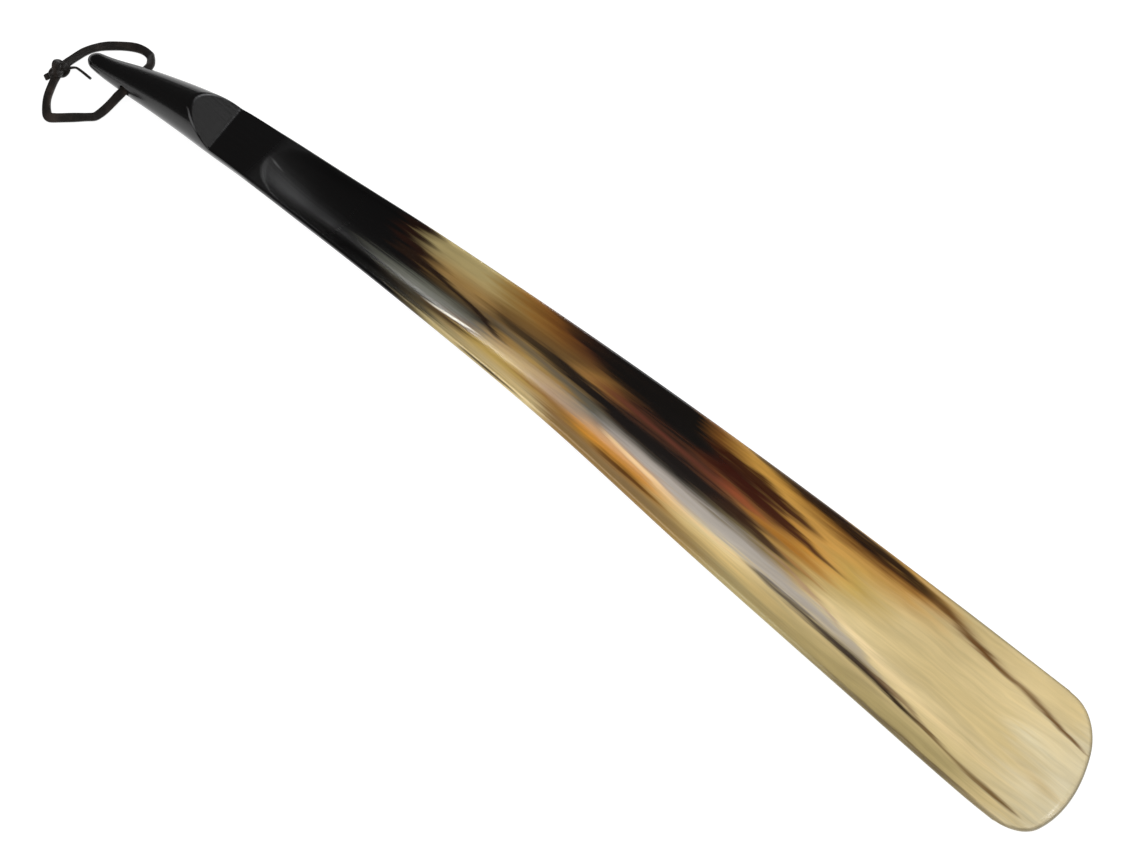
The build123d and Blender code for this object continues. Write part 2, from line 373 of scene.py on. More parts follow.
def route_line(route, name, fineness):
    """Points along the smooth spline whose control points are the route's, in millimetres."""
    curve = bpy.data.curves.new(name, "CURVE")
    curve.dimensions = "3D"
    spline = curve.splines.new("NURBS")
    spline.points.add(len(route) - 1)
    for point, (x, y, z) in zip(spline.points, route):
        point.co = ((HOLE[0] + x) * MM, (HOLE[1] + y) * MM, z * MM, 1.0)
    spline.order_u = 3
    spline.use_endpoint_u = True
    spline.resolution_u = fineness
    holder = bpy.data.objects.new(name, curve)
    bpy.context.scene.collection.objects.link(holder)
    shown = holder.evaluated_get(bpy.context.evaluated_depsgraph_get())
    line = bpy.data.meshes.new_from_object(shown)
    points = np.empty(len(line.vertices) * 3)
    line.vertices.foreach_get("co", points)
    bpy.data.meshes.remove(line)
    bpy.data.objects.remove(holder)
    bpy.data.curves.remove(curve)
    return points.reshape(-1, 3) / MM


def unit(vectors):
    return vectors / np.linalg.norm(vectors, axis=-1, keepdims=True)


def strap_mesh(name, path, turns, width, thickness, ends=1.0):
    """A flat strap: a rounded rectangle carried along the path.

    At each point it lies level, then turns about the path by the angle that `turns` gives
    there, as (share of the length, degrees). Its width wavers a little, as cut leather does,
    and the two ends are closed by flat caps.
    """
    steps = np.linalg.norm(np.diff(path, axis=0), axis=1)
    share = np.concatenate([[0], np.cumsum(steps)]) / steps.sum()
    length = steps.sum()
    ahead = unit(np.gradient(path, axis=0))
    sideways = unit(np.cross(ahead, (0.0, 0.0, 1.0)))
    up = np.cross(sideways, ahead)
    angle = np.radians(np.interp(share, *zip(*turns)))[:, None]
    wide = sideways * np.cos(angle) + up * np.sin(angle)
    thick = up * np.cos(angle) - sideways * np.sin(angle)

    around = np.linspace(0, 2 * math.pi, 28, endpoint=False)
    flat = np.sign(np.cos(around)) * np.abs(np.cos(around)) ** 0.34
    deep = np.sign(np.sin(around)) * np.abs(np.sin(around)) ** 0.6
    waver = 1 + 0.05 * np.sin(share * length / 4.1 + 0.7) + 0.03 * np.sin(share * length / 1.7)
    pinch = 1 - (1 - ends) * np.maximum(ease(1 - share * 8), ease(1 - (1 - share) * 8))
    half_wide = (width / 2 * waver * pinch)[:, None, None] * flat[:, None]
    half_thick = (thickness / 2 * (2 - waver))[:, None, None] * deep[:, None]
    points = path[:, None] + wide[:, None] * half_wide + thick[:, None] * half_thick
    rings, count = points.shape[:2]
    here = np.arange(rings * count).reshape(rings, count)
    after = np.roll(here, -1, axis=1)
    faces = np.stack([here[:-1], after[:-1], after[1:], here[1:]], -1).reshape(-1, 4).tolist()
    faces += [here[0][::-1].tolist(), here[-1].tolist()]
    grain = np.stack([np.repeat(share * length, count), np.tile(flat, rings)], -1)
    return make_piece(name, points.reshape(-1, 3), faces, grain)


def knot_mesh():
    """An overhand knot drawn tight: a strap along a trefoil, wound round a small core, and
    the two melted into one skin by a fine remesh.

    The trefoil runs through sin t + 2 sin 2t and cos t - 2 cos 2t in its plane, and rises and
    falls by the sine of 3t.
    """
    centre = (np.array(knot_low) + np.array(knot_high)) / (2 * MM)
    t = np.linspace(0, 2 * math.pi, 160)
    loop = np.stack([np.sin(t) + 2 * np.sin(2 * t), np.cos(t) - 2 * np.cos(2 * t), -np.sin(3 * t)], -1)
    loop *= (0.90, 1.06, 1.10)
    tilt = math.radians(24.0)
    lean = np.array([
        [math.cos(tilt), 0, math.sin(tilt)], [0, 1, 0], [-math.sin(tilt), 0, math.cos(tilt)]])
    path = loop @ lean.T + centre
    knot = strap_mesh("thong_knot_leather", path, [(0, 12), (0.5, -14), (1, 12)], 2.9, 1.35)
    around = np.linspace(0, 2 * math.pi, 32, endpoint=False)
    rise = np.linspace(-math.pi / 2, math.pi / 2, 17)[1:-1]
    core = np.stack([
        1.7 * np.outer(np.cos(rise), np.cos(around)),
        2.3 * np.outer(np.cos(rise), np.sin(around)),
        1.7 * np.outer(np.sin(rise), np.ones(len(around)))], -1).reshape(-1, 3) + centre
    here = np.arange(len(core)).reshape(len(rise), len(around))
    after = np.roll(here, -1, axis=1)
    faces = np.stack([here[:-1], after[:-1], after[1:], here[1:]], -1).reshape(-1, 4).tolist()
    faces += [here[0][::-1].tolist(), here[-1].tolist()]
    core_piece = make_piece("core", core, faces)
    with bpy.context.temp_override(active_object=knot, selected_editable_objects=[knot, core_piece]):
        bpy.ops.object.join()
    melt = knot.modifiers.new("melt", "REMESH")
    melt.mode, melt.voxel_size, melt.use_smooth_shade = "VOXEL", 0.16 * MM, True
    soften = knot.modifiers.new("soften", "SMOOTH")
    soften.factor, soften.iterations = 0.5, 2
    settle(knot)
    return knot


# ---- materials -------------------------------------------------------------------------
def tone(red, green, blue):
    """A colour from everyday 0 to 255 values, as the light that it returns."""
    shares = [value / 255 for value in (red, green, blue)]
    linear = [v / 12.92 if v <= 0.04045 else ((v + 0.055) / 1.055) ** 2.4 for v in shares]
    return (*linear, 1.0)


class Value:
    """A node's output socket, on which plain arithmetic adds Math nodes."""

    def __init__(self, finish, socket):
        self.finish = finish
        self.socket = socket

    def math(self, operation, *inputs):
        return self.finish.node("Math", {"operation": operation}, dict(enumerate(inputs)))

    def __add__(self, other):
        return self.math("ADD", self, other)

    def __radd__(self, other):
        return self.math("ADD", other, self)

    def __sub__(self, other):
        return self.math("SUBTRACT", self, other)

    def __rsub__(self, other):
        return self.math("SUBTRACT", other, self)

    def __mul__(self, other):
        return self.math("MULTIPLY", self, other)

    def __rmul__(self, other):
        return self.math("MULTIPLY", other, self)

    def __truediv__(self, other):
        return self.math("DIVIDE", self, other)

    def __abs__(self):
        return self.math("ABSOLUTE", self)


class Finish:
    """A material and its nodes."""

    def __init__(self, name):
        self.material = bpy.data.materials.new(name)
        self.material.use_nodes = True
        self.tree = self.material.node_tree
        self.tree.nodes.clear()

    def node(self, kind, settings=None, sockets=None, output=0):
        """Adds a node, applies its settings, then gives its sockets their values or links."""
        made = self.tree.nodes.new("ShaderNode" + kind)
        for name, value in (settings or {}).items():
            if name == "stops":
                self.set_stops(made.color_ramp, value)
            else:
                setattr(made, name, value)
        for name, value in (sockets or {}).items():
            if isinstance(value, Value):
                self.tree.links.new(value.socket, made.inputs[name])
            else:
                made.inputs[name].default_value = value
        return Value(self, made.outputs[output]) if len(made.outputs) else made

    @staticmethod
    def set_stops(ramp, stops):
        while len(ramp.elements) < len(stops):
            ramp.elements.new(1.0)
        for element, (place, colour) in zip(ramp.elements, sorted(stops)):
            element.position = place
            element.color = colour

    def mix(self, share, first, second, way="MIX"):
        sockets = {0: share, 6: first, 7: second}
        return self.node("Mix", {"data_type": "RGBA", "blend_type": way}, sockets, output=2)

    def eased(self, value, low, high):
        """0 below `low`, 1 over `high`, and a smooth rise between them."""
        sockets = {"Value": value, "From Min": low, "From Max": high}
        return self.node("MapRange", {"interpolation_type": "SMOOTHSTEP"}, sockets)

    def along(self, value, stops):
        """A colour that changes along the horn: stops are (place in mm, colour)."""
        ramp = [(place / LENGTH, colour) for place, colour in stops]
        return self.node("ValToRGB", {"stops": ramp}, {0: value})

    def fibres(self, u, v, fine, drawn_out, seed, detail=2.0):
        """Noise drawn out along the horn: `fine` bands across for each `drawn_out` along."""
        at = self.node("CombineXYZ", None, {0: u * drawn_out + seed, 1: v * fine, 2: seed})
        return self.node("TexNoise", None, {"Vector": at, "Scale": 1.0, "Detail": detail})

    def streak(self, u, side, course, softness, ragged):
        """How strongly a streak covers a spot. Its course is (place in mm, middle and half
        width across the horn from -1 to 1, strength), which a ramp carries as a colour."""
        stops = [(p, ((middle + 1) / 2, width, strength, 1.0)) for p, middle, width, strength in course]
        carried = self.along(u, stops)
        red, green, blue = (self.node("SeparateColor", None, {0: carried}, output=i) for i in range(3))
        off_middle = abs(side - (red * 2.0 - 1.0)) / green + ragged
        return self.eased(1.0 - off_middle + 0.35, 0.0, softness + 0.35) * blue

    def finish(self, **shader):
        """Ends the tree in one Principled shader and returns the material."""
        names = {name.replace("_", " ").title().replace("Ior", "IOR"): v for name, v in shader.items()}
        surface = self.node("BsdfPrincipled", None, names)
        self.node("OutputMaterial", None, {"Surface": surface})
        return self.material


# the horn's own colours, from the black tip to the pale blade
HORN_COLOURS = {
    "black": (9, 8, 8),
    "soot": (20, 16, 12),
    "dark umber": (42, 22, 12),
    "umber": (76, 42, 24),
    "rust": (104, 52, 22),
    "chestnut": (122, 78, 32),
    "walnut": (108, 80, 40),
    "smoke": (54, 48, 38),
    "drab": (98, 86, 58),
    "bronze": (150, 108, 50),
    "olive tan": (152, 120, 68),
    "tan": (166, 136, 78),
    "amber": (190, 132, 40),
    "orange": (208, 144, 56),
    "gold": (202, 152, 70),
    "old gold": (190, 158, 78),
    "straw": (184, 166, 114),
    "honey": (206, 184, 130),
    "cream": (220, 198, 144),
    "light cream": (234, 208, 148),
    "ivory": (218, 205, 168),
}

# how the colours follow one another along the horn, by their place in mm, in five bands
# across it from the near rim to the far one
BANDS = {
    -0.82: [
        (164, "black"), (177, "drab"), (186, "straw"), (198, "honey"), (210, "cream"),
        (222, "light cream"), (232, "cream"), (243, "olive tan"), (285, "olive tan"),
        (310, "tan"), (335, "straw"), (432, "straw"), (450, "cream"), (469, "ivory")],
    -0.42: [
        (150, "black"), (163, "smoke"), (175, "smoke"), (192, "walnut"), (201, "old gold"),
        (215, "old gold"), (236, "bronze"), (246, "bronze"), (254, "amber"), (264, "orange"),
        (284, "orange"), (306, "light cream"), (322, "light cream"), (342, "honey"),
        (382, "honey"), (402, "cream"), (432, "cream"), (469, "ivory")],
    -0.02: [
        (168, "black"), (186, "smoke"), (198, "smoke"), (208, "olive tan"), (218, "tan"),
        (233, "olive tan"), (246, "drab"), (257, "smoke"), (290, "smoke"), (322, "drab"),
        (345, "tan"), (360, "honey"), (373, "cream"), (400, "honey"), (440, "honey"),
        (469, "ivory")],
    0.42: [
        (152, "black"), (160, "dark umber"), (176, "olive tan"), (190, "olive tan"),
        (201, "walnut"), (232, "walnut"), (245, "bronze"), (254, "chestnut"), (266, "umber"),
        (291, "umber"), (302, "rust"), (312, "chestnut"), (335, "amber"), (346, "gold"),
        (361, "old gold"), (384, "honey"), (404, "honey"), (432, "cream"), (469, "ivory")],
    0.82: [
        (149, "black"), (155, "dark umber"), (168, "straw"), (190, "straw"), (200, "tan"),
        (211, "bronze"), (222, "chestnut"), (237, "umber"), (247, "dark umber"),
        (258, "soot"), (281, "soot"), (293, "chestnut"), (309, "gold"), (382, "gold"),
        (404, "honey"), (432, "cream"), (455, "cream"), (469, "ivory")],
}

# name, colour, softness and course of each streak, drawn one over the other:
# (place in mm, middle across, half width, strength)
STREAKS = [
    # partly grey-green horn, partly painted sheen where a window's reflection would lie on the black
    ("grey-green tint and painted sheen by the black", (112, 113, 100), 1.1, [
        (132, -0.14, 0.10, 0), (148, -0.20, 0.20, 0.35), (160, -0.22, 0.25, 0.65),
        (171, -0.20, 0.25, 0.8), (183, -0.15, 0.18, 0.8), (194, -0.10, 0.10, 0.45),
        (205, -0.06, 0.04, 0)]),
    # partly grey-brown horn, partly painted sheen along the track of the window's reflection
    ("grey-brown tint and painted sheen, middle", (82, 80, 70), 0.9, [
        (192, 0.20, 0.05, 0), (204, 0.19, 0.08, 0.6), (220, 0.15, 0.10, 0.7),
        (236, 0.08, 0.12, 0.85), (250, 0.01, 0.12, 0.85), (262, -0.04, 0.08, 0.6),
        (274, -0.07, 0.04, 0)]),
    # partly grey horn, partly painted sheen: the window's reflection along the trough
    ("grey tint and painted sheen, middle", (158, 149, 138), 0.8, [
        (248, 0.00, 0.06, 0), (262, -0.07, 0.11, 0.65), (276, -0.12, 0.13, 0.85),
        (290, -0.17, 0.15, 0.9), (306, -0.19, 0.17, 0.9), (322, -0.19, 0.18, 0.9),
        (336, -0.22, 0.18, 0.9), (350, -0.26, 0.16, 0.9), (364, -0.27, 0.14, 0.9),
        (378, -0.30, 0.11, 0.75), (389, -0.36, 0.06, 0.5), (398, -0.40, 0.03, 0)]),
    # partly cream horn, partly painted sheen below the grey band
    ("cream tint and painted sheen under the grey", (246, 206, 140), 0.7, [
        (256, -0.18, 0.04, 0), (263, -0.24, 0.06, 0.6), (271, -0.30, 0.06, 0.8),
        (281, -0.33, 0.05, 0.7), (296, -0.38, 0.04, 0.5), (312, -0.40, 0.03, 0.4),
        (331, -0.41, 0.02, 0.3), (340, -0.42, 0.02, 0)]),
    # partly cream horn, partly painted sheen past the end of the grey band
    ("cream tint and painted sheen past the grey", (243, 216, 160), 0.9, [
        (350, -0.02, 0.03, 0), (360, -0.04, 0.05, 0.4), (370, -0.09, 0.06, 0.6),
        (380, -0.16, 0.06, 0.6), (392, -0.25, 0.07, 0.5), (404, -0.30, 0.08, 0.5),
        (420, -0.35, 0.08, 0.5), (436, -0.38, 0.06, 0.3), (448, -0.40, 0.05, 0)]),
    ("pink-brown border", (164, 128, 104), 0.9, [
        (330, 0.03, 0.03, 0), (342, -0.01, 0.035, 0.5), (352, -0.07, 0.035, 0.6),
        (362, -0.12, 0.03, 0.5), (368, -0.17, 0.02, 0.3), (374, -0.21, 0.02, 0)]),
    ("orange patch", (216, 146, 50), 1.0, [
        (240, -0.45, 0.08, 0), (252, -0.42, 0.15, 0.7), (265, -0.43, 0.14, 0.7),
        (278, -0.46, 0.09, 0.5), (288, -0.48, 0.05, 0.3), (297, -0.50, 0.03, 0)]),
    ("brown by the near rim", (146, 106, 54), 1.0, [
        (235, -0.80, 0.08, 0), (243, -0.72, 0.14, 0.55), (251, -0.70, 0.10, 0.3),
        (258, -0.70, 0.06, 0)]),
    ("dark brown near side", (100, 60, 14), 0.9, [
        (257, -0.60, 0.05, 0), (265, -0.62, 0.10, 0.8), (274, -0.62, 0.10, 0.97),
        (282, -0.62, 0.075, 0.95), (289, -0.62, 0.05, 0.6), (297, -0.62, 0.03, 0)]),
    ("gold near side", (236, 204, 134), 1.2, [
        (292, -0.60, 0.05, 0), (304, -0.60, 0.12, 0.5), (326, -0.62, 0.14, 0.6),
        (346, -0.66, 0.12, 0.5), (362, -0.70, 0.06, 0)]),
    ("tan spot", (150, 106, 52), 1.0, [
        (219, -0.45, 0.03, 0), (228, -0.46, 0.05, 0.55), (238, -0.45, 0.03, 0)]),
    ("brown under the gleam", (62, 42, 20), 0.9, [
        (172, -0.50, 0.03, 0), (180, -0.50, 0.06, 0.8), (188, -0.49, 0.08, 0.9),
        (196, -0.46, 0.07, 0.8), (204, -0.44, 0.04, 0.3), (210, -0.44, 0.03, 0)]),
    ("far dark wedge", (17, 14, 12), 0.7, [
        (212, 0.99, 0.03, 0), (225, 0.96, 0.07, 0.6), (236, 0.91, 0.14, 0.8),
        (246, 0.85, 0.22, 0.95), (258, 0.78, 0.26, 1), (272, 0.72, 0.25, 1),
        (285, 0.67, 0.21, 1), (297, 0.64, 0.16, 0.95), (308, 0.60, 0.13, 0.85),
        (318, 0.57, 0.10, 0.7), (328, 0.54, 0.07, 0.4), (336, 0.52, 0.04, 0)]),
    ("far finger", (52, 16, 3), 0.8, [
        (286, 0.80, 0.05, 0), (297, 0.76, 0.10, 0.95), (314, 0.72, 0.10, 0.97),
        (325, 0.67, 0.08, 0.97), (335, 0.65, 0.06, 0.9), (345, 0.62, 0.03, 0)]),
    ("second finger", (56, 16, 3), 0.8, [
        (286, 0.56, 0.06, 0), (298, 0.56, 0.12, 0.95), (316, 0.53, 0.11, 0.97),
        (330, 0.48, 0.085, 0.95), (341, 0.44, 0.06, 0.92), (350, 0.42, 0.03, 0.7),
        (359, 0.41, 0.015, 0)]),
    ("middle dark band", (22, 17, 15), 0.7, [
        (190, 0.30, 0.03, 0), (202, 0.35, 0.06, 0.6), (215, 0.34, 0.09, 0.8),
        (229, 0.29, 0.12, 0.92), (241, 0.24, 0.14, 0.97), (252, 0.22, 0.155, 1),
        (264, 0.19, 0.175, 1), (277, 0.18, 0.18, 1), (291, 0.17, 0.18, 0.97),
        (303, 0.17, 0.16, 0.93), (314, 0.15, 0.11, 0.6), (322, 0.12, 0.07, 0)]),
    ("middle finger", (46, 22, 10), 0.7, [
        (300, 0.17, 0.14, 0), (308, 0.16, 0.13, 0.6), (317, 0.14, 0.09, 0.9),
        (326, 0.11, 0.065, 0.9), (334, 0.08, 0.045, 0.85), (342, 0.07, 0.03, 0.4),
        (350, 0.06, 0.02, 0)]),
    ("red-brown thread", (98, 48, 32), 1.0, [
        (238, 0.46, 0.05, 0), (252, 0.45, 0.06, 0.45), (263, 0.45, 0.045, 0.7),
        (276, 0.42, 0.035, 0.75), (291, 0.39, 0.035, 0.7), (303, 0.37, 0.045, 0.6),
        (313, 0.34, 0.04, 0.35), (322, 0.30, 0.02, 0)]),
    ("rust patch", (158, 74, 34), 1.0, [
        (298, 0.40, 0.04, 0), (307, 0.39, 0.07, 0.6), (317, 0.36, 0.06, 0.5),
        (327, 0.34, 0.03, 0)]),
    ("amber thread", (172, 110, 24), 0.9, [
        (311, 0.29, 0.03, 0), (322, 0.30, 0.05, 0.6), (336, 0.27, 0.06, 0.8),
        (349, 0.26, 0.05, 0.5), (360, 0.25, 0.03, 0)]),
    ("low thread", (150, 96, 50), 0.9, [
        (332, 0.12, 0.03, 0), (340, 0.11, 0.03, 0.5), (348, 0.09, 0.03, 0.5),
        (357, 0.05, 0.02, 0)]),
    ("first finger of black", (30, 13, 7), 0.7, [
        (144, 0.90, 0.07, 0), (151, 0.90, 0.065, 0.95), (157, 0.90, 0.06, 0.9),
        (162, 0.90, 0.04, 0.6), (168, 0.90, 0.02, 0)]),
    ("second finger of black", (34, 14, 7), 0.7, [
        (144, 0.72, 0.07, 0), (151, 0.72, 0.065, 0.95), (159, 0.72, 0.06, 0.95),
        (164, 0.71, 0.035, 0.6), (170, 0.70, 0.02, 0)]),
    ("third finger of black", (34, 15, 8), 0.7, [
        (144, 0.51, 0.07, 0), (151, 0.51, 0.065, 0.95), (160, 0.51, 0.065, 0.95),
        (165, 0.50, 0.04, 0.6), (171, 0.49, 0.02, 0)]),
    ("dark border of the amber", (34, 20, 11), 0.8, [
        (146, 0.28, 0.12, 0), (152, 0.29, 0.11, 0.95), (160, 0.30, 0.10, 0.95),
        (166, 0.30, 0.085, 0.95),
        (172, 0.25, 0.08, 0.95), (180, 0.20, 0.075, 0.95), (188, 0.16, 0.07, 0.95),
        (195, 0.10, 0.06, 0.9), (200, 0.02, 0.05, 0.85), (206, -0.05, 0.04, 0.7),
        (213, -0.06, 0.02, 0)]),
    ("brown by the far rim", (112, 66, 20), 1.1, [
        (316, 0.90, 0.05, 0), (332, 0.87, 0.09, 0.7), (350, 0.84, 0.12, 0.85),
        (368, 0.82, 0.12, 0.9), (386, 0.83, 0.10, 0.8), (402, 0.81, 0.08, 0.6),
        (420, 0.76, 0.05, 0.4), (442, 0.66, 0.04, 0.35), (464, 0.55, 0.02, 0)]),
    ("dark line by the far rim", (38, 22, 12), 0.8, [
        (300, 1.00, 0.02, 0), (310, 0.98, 0.04, 0.8), (326, 0.95, 0.07, 0.95),
        (346, 0.93, 0.09, 1), (362, 0.90, 0.10, 0.97), (374, 0.89, 0.085, 0.95),
        (383, 0.875, 0.06, 0.9), (391, 0.86, 0.04, 0.6), (400, 0.82, 0.025, 0)]),
    ("line to the end", (104, 68, 26), 1.0, [
        (384, 0.88, 0.05, 0), (394, 0.84, 0.05, 0.9), (406, 0.79, 0.042, 0.85),
        (418, 0.75, 0.038, 1), (430, 0.70, 0.034, 0.75), (442, 0.64, 0.034, 0.85),
        (452, 0.59, 0.034, 0.95), (460, 0.55, 0.026, 0.9), (465, 0.54, 0.015, 0)]),
    ("near dark line", (56, 40, 22), 0.9, [
        (328, -0.40, 0.02, 0), (338, -0.405, 0.055, 0.9), (351, -0.41, 0.07, 0.95),
        (362, -0.41, 0.08, 0.97), (372, -0.42, 0.085, 1), (382, -0.44, 0.085, 1),
        (391, -0.47, 0.07, 1), (399, -0.51, 0.055, 1), (407, -0.55, 0.042, 1),
        (415, -0.57, 0.035, 0.9), (422, -0.59, 0.025, 0.4), (428, -0.61, 0.02, 0)]),
    ("near brown line", (112, 82, 44), 1.0, [
        (412, -0.57, 0.03, 0), (420, -0.59, 0.035, 0.8), (429, -0.62, 0.035, 0.65),
        (438, -0.65, 0.045, 0.8), (447, -0.67, 0.05, 0.95), (454, -0.69, 0.045, 0.95),
        (459, -0.71, 0.03, 0.7), (463, -0.72, 0.02, 0)]),
    ("its brown branch", (112, 82, 52), 0.9, [
        (380, -0.41, 0.03, 0), (391, -0.42, 0.04, 0.8), (401, -0.45, 0.045, 0.75),
        (410, -0.49, 0.04, 0.6), (417, -0.54, 0.03, 0.4), (422, -0.57, 0.02, 0)]),
    ("near rim, handle end", (34, 24, 10), 0.9, [
        (197, -0.98, 0.02, 0), (205, -0.96, 0.03, 0.8), (216, -0.96, 0.03, 0.9),
        (225, -0.97, 0.025, 0.7), (233, -0.98, 0.02, 0)]),
    ("near rim, blade end", (84, 64, 38), 0.9, [
        (370, -0.98, 0.03, 0), (384, -0.97, 0.035, 0.55), (400, -0.96, 0.04, 0.75),
        (420, -0.955, 0.045, 0.8), (442, -0.96, 0.04, 0.75), (456, -0.98, 0.03, 0.4),
        (466, -1.0, 0.02, 0)]),
    ("faint brown spot", (194, 168, 116), 1.2, [
        (444, -0.05, 0.05, 0), (454, -0.10, 0.10, 0.5), (463, -0.16, 0.10, 0.45),
        (469, -0.22, 0.06, 0)]),
    ("pale spot", (236, 228, 196), 1.3, [
        (430, 0.26, 0.06, 0), (443, 0.25, 0.15, 0.5), (453, 0.23, 0.13, 0.35),
        (463, 0.20, 0.08, 0)]),
]


# painted highlights, which the fibres don't pull about, in the same form
PAINTED_HIGHLIGHTS = [
    ("pale gleam", (238, 232, 214), 0.7, [
        (173, -0.43, 0.02, 0), (180, -0.40, 0.035, 0.85), (187, -0.35, 0.04, 1),
        (194, -0.30, 0.03, 0.85), (201, -0.26, 0.015, 0)]),
    # painted highlight on the lower part of the saw cut's lip
    ("painted lip highlight", (104, 104, 104), 1.0, [
        (54.2, -0.42, 0.03, 0), (55.6, -0.55, 0.05, 0.6), (58.0, -0.70, 0.06, 0.8),
        (61.0, -0.82, 0.05, 0.6), (64.0, -0.90, 0.03, 0)]),
    # painted highlight on the lip where the hollow begins
    ("painted highlight on the hollow's edge", (84, 84, 84), 1.0, [
        (91.5, 0.07, 0.03, 0), (93.0, 0.05, 0.05, 0.7), (95.5, 0.03, 0.04, 0.6),
        (99.0, 0.01, 0.02, 0)]),
]


def polished_horn():
    """Black horn that breaks into amber, gold and cream fibres towards the blade."""
    finish = Finish("polished_horn_streaks")
    grain = finish.node("UVMap", {"uv_map": "grain"})
    u, v = (finish.node("SeparateXYZ", None, {0: grain}, output=i) for i in range(2))
    side = v * 2.0 - 1.0

    # fibres push every boundary to and fro along the horn, and a little across it
    push = finish.fibres(u, v, 19.0, 6.0, 4.2, 3.0) - 0.5
    nudge = finish.fibres(u, v, 6.0, 13.0, 11.7, 3.0) - 0.5
    drawn_u = u + push * (34.0 / LENGTH)
    drawn_side = side + nudge * 0.11

    colour = None
    below = None
    for middle, stops in BANDS.items():
        band = finish.along(drawn_u, [(place, tone(*HORN_COLOURS[name])) for place, name in stops])
        if colour is None:
            colour = band
        else:
            colour = finish.mix(finish.eased(drawn_side, below, middle), colour, band)
        below = middle
    thin_u = u + push * (18.0 / LENGTH)
    ragged = (finish.fibres(u, v, 44.0, 17.0, 3.3, 4.0) - 0.5) * 1.7
    # the streaks are the horn's own colours; the grey-green, grey and cream ones along the trough also
    # carry painted sheen
    for _, rgb, softness, course in STREAKS:
        cover = finish.streak(thin_u, drawn_side, course, softness, ragged)
        colour = finish.mix(cover, colour, tone(*rgb))

    # painted highlights: a gleam in the trough, and the light on the lip and on the hollow's edge
    for _, rgb, softness, course in PAINTED_HIGHLIGHTS:
        colour = finish.mix(finish.streak(u, side, course, softness, 0.0), colour, tone(*rgb))

    # fine wandering fibres, a touch lighter and darker, that show where the horn isn't black
    wander = finish.fibres(u, v, 3.0, 7.0, 8.8, 2.0)
    wavy = v + nudge * 0.10 + wander * 0.09
    fine = finish.fibres(u, wavy, 44.0, 16.0, 2.1, 4.0)
    broad = finish.fibres(u, wavy, 13.0, 15.0, 7.9, 4.0)
    lightness = 0.58 + fine * 0.38 + broad * 0.46
    shade = finish.node("CombineColor", None, {0: lightness, 1: lightness, 2: lightness * 1.01})
    colour = finish.mix(1.0, colour, shade, way="MULTIPLY")
    to_edge = finish.node("Attribute", {"attribute_name": "to_edge"}, None, output=2)
    rim = (1.0 - finish.eased(to_edge, 0.1, 1.5)) * finish.eased(u, 340.0 / LENGTH, 400.0 / LENGTH)
    colour = finish.mix(rim * 0.62, colour, tone(104, 92, 68))
    ripple = finish.fibres(u, v, 30.0, 6.0, 5.5, 2.0)
    spot = finish.node("TexCoord", None, None, output=3)
    scuffs = finish.node("TexNoise", None, {"Vector": spot, "Scale": 1400.0, "Detail": 3.0})
    normal = finish.node("Bump", None, {"Strength": 0.10, "Distance": 0.0006,
                         "Height": ripple + scuffs * 0.03})
    carved = finish.eased(u, 87.0 / LENGTH, 94.0 / LENGTH)
    carved = carved * (1.0 - finish.eased(u, 106.0 / LENGTH, 140.0 / LENGTH))
    return finish.finish(
        base_color=colour, roughness=0.18 + 0.08 * fine + 0.26 * carved, ior=1.5, normal=normal)


def lace_leather():
    """Waxed dark leather: fine pebbled grain, a cloudy tone and paler rubbed patches."""
    finish = Finish("waxed_dark_leather")
    spot = finish.node("TexCoord", None, None, output=3)
    pebble = finish.node("TexVoronoi", None, {"Vector": spot, "Scale": 2600.0})
    cloud = finish.node("TexNoise", None, {"Vector": spot, "Scale": 420.0, "Detail": 4.0})
    worn = finish.node("TexNoise", None, {"Vector": spot, "Scale": 150.0, "Detail": 2.0})
    rubbed = finish.eased(worn, 0.50, 0.72)
    colour = finish.mix(cloud, tone(13, 11, 9), tone(32, 28, 25))
    colour = finish.mix(rubbed * 0.5, colour, tone(60, 50, 44))
    normal = finish.node("Bump", None, {"Strength": 0.5, "Distance": 0.00012,
                         "Height": pebble * 0.6 + cloud})
    return finish.finish(
        base_color=colour, roughness=0.42 + 0.22 * cloud, ior=1.45, normal=normal,
        coat_weight=0.10, coat_roughness=0.35)


def white_table():
    """A lit white table top: it glows, so that it stays white under a small soft shadow."""
    finish = Finish("white_table_top")
    return finish.finish(base_color=tone(120, 120, 120), roughness=0.9, specular_ior_level=0.0,
                         emission_color=(1.0, 1.0, 1.0, 1.0), emission_strength=0.93)


# ---- putting it together ---------------------------------------------------------------
def wear(piece, material):
    piece.data.materials.clear()
    piece.data.materials.append(material)


def build_horn():
    horn = horn_mesh()
    drill_hole(horn)
    horn.data.set_sharp_from_angle(angle=math.radians(50.0))
    wear(horn, polished_horn())
    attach(horn, "horn")
    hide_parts("horn")


def build_thong():
    leather = lace_leather()
    path = route_line(FAR_LEG + NEAR_LEG[::-1], "thong_route", 12)
    turns = [(0, 0), (0.06, 0), (0.12, 40), (0.17, 12), (0.30, 8), (0.42, 4), (0.50, 0),
             (0.56, -10), (0.64, -16), (0.72, -20), (0.82, -12), (0.90, -25), (0.95, 0), (1, 0)]
    lace = strap_mesh("thong_lace", path, turns, LACE_WIDTH, LACE_THICKNESS)
    knot = knot_mesh()
    long_tail = strap_mesh("thong_long_tail_leather", route_line(LONG_TAIL, "tail_route", 12),
                           [(0, 30), (0.4, 58), (1, 62)], 2.0, 0.95, ends=0.8)
    short_tail = strap_mesh("thong_short_tail_leather", route_line(SHORT_TAIL, "nub_route", 8),
                            [(0, 0), (1, 20)], 2.4, 1.1, ends=0.8)
    for piece, nodes in (
            (lace, ("thong_far_leg", "thong_near_leg")), (knot, ("thong_knot",)),
            (long_tail, ("thong_long_tail",)), (short_tail, ("thong_short_tail",))):
        wear(piece, leather)
        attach(piece, "thong")
        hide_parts(*nodes)
    [value * MM for value in HOLE]


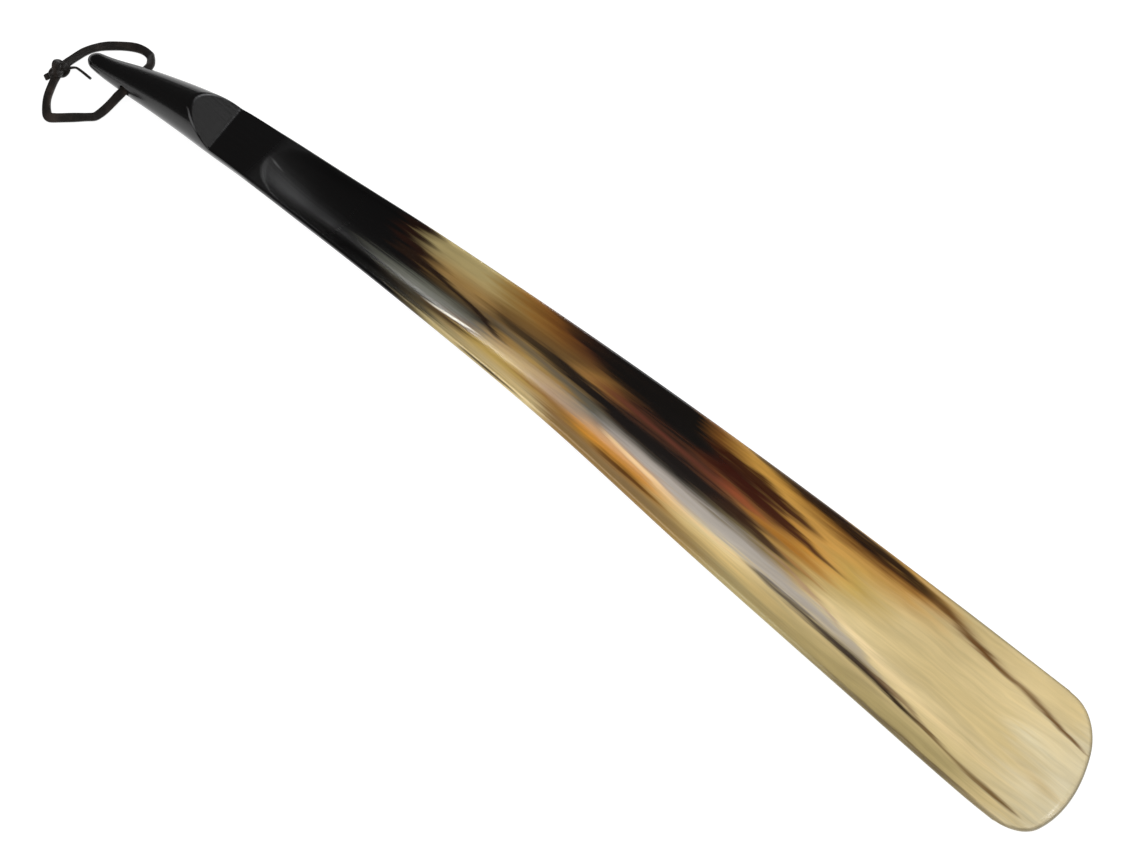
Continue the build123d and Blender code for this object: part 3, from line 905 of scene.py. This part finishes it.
def softbox(name, direction, distance, size, radiance, colour=(1.0, 1.0, 1.0), aim=VIEW_TO):
    """A rectangular light that faces `aim`, as bright as `radiance` times a lit white."""
    lamp = bpy.data.lights.new(name, "AREA")
    lamp.shape = "RECTANGLE"
    lamp.size, lamp.size_y = size
    lamp.energy = radiance * size[0] * size[1] * math.pi
    lamp.color = colour
    holder = bpy.data.objects.new(name, lamp)
    bpy.context.scene.collection.objects.link(holder)
    holder.location = Vector(aim) + Vector(direction).normalized() * distance
    holder.rotation_euler = (Vector(aim) - holder.location).to_track_quat("-Z", "Y").to_euler()
    return holder


def light_studio():
    softbox("long_window", (-0.23, 0.70, 0.66), 1.35, (0.46, 0.76), 3.3, (0.97, 0.98, 1.0))
    softbox("side_sheet", (0.24, 0.38, 0.88), 1.30, (0.50, 0.60), 1.1)
    softbox("small_lamp", (-0.33, 0.82, 0.47), 1.25, (0.06, 0.12), 24.0, aim=(-0.048, -0.006, 0.016))
    fill = softbox("overhead_fill", (0.15, -0.30, 0.94), 1.6, (1.6, 1.6), 3.1)
    fill.visible_glossy = False  # it lights the colours but leaves no sheen
    world = bpy.data.worlds.new("pale_room")
    world.use_nodes = True
    world.node_tree.nodes["Background"].inputs["Color"].default_value = (1.0, 1.0, 1.0, 1.0)
    world.node_tree.nodes["Background"].inputs["Strength"].default_value = 0.08
    bpy.context.scene.world = world
    reach = 30000.0
    corners = [(-reach, -reach, 0), (reach, -reach, 0), (reach, reach, 0), (-reach, reach, 0)]
    table = make_piece("white_table", corners, [(0, 1, 2, 3)])
    wear(table, white_table())


def place_camera():
    turn, tilt = (math.radians(angle) for angle in VIEW_FROM)
    back = Vector((math.sin(turn) * math.cos(tilt), -math.cos(turn) * math.cos(tilt), math.sin(tilt)))
    camera = bpy.data.cameras.new("camera")
    camera.lens = LENS
    camera.sensor_width = 36.0
    camera.sensor_fit = "HORIZONTAL"
    camera.clip_end = 100.0
    holder = bpy.data.objects.new("camera", camera)
    bpy.context.scene.collection.objects.link(holder)
    holder.location = VIEW_TO + back * VIEW_DISTANCE
    holder.rotation_euler = back.to_track_quat("Z", "Y").to_euler()
    bpy.context.scene.camera = holder
    bpy.context.scene.view_settings.view_transform = "Standard"


place_camera()
build_thong()
build_horn()
light_studio()

bpy.context.view_layer.update()
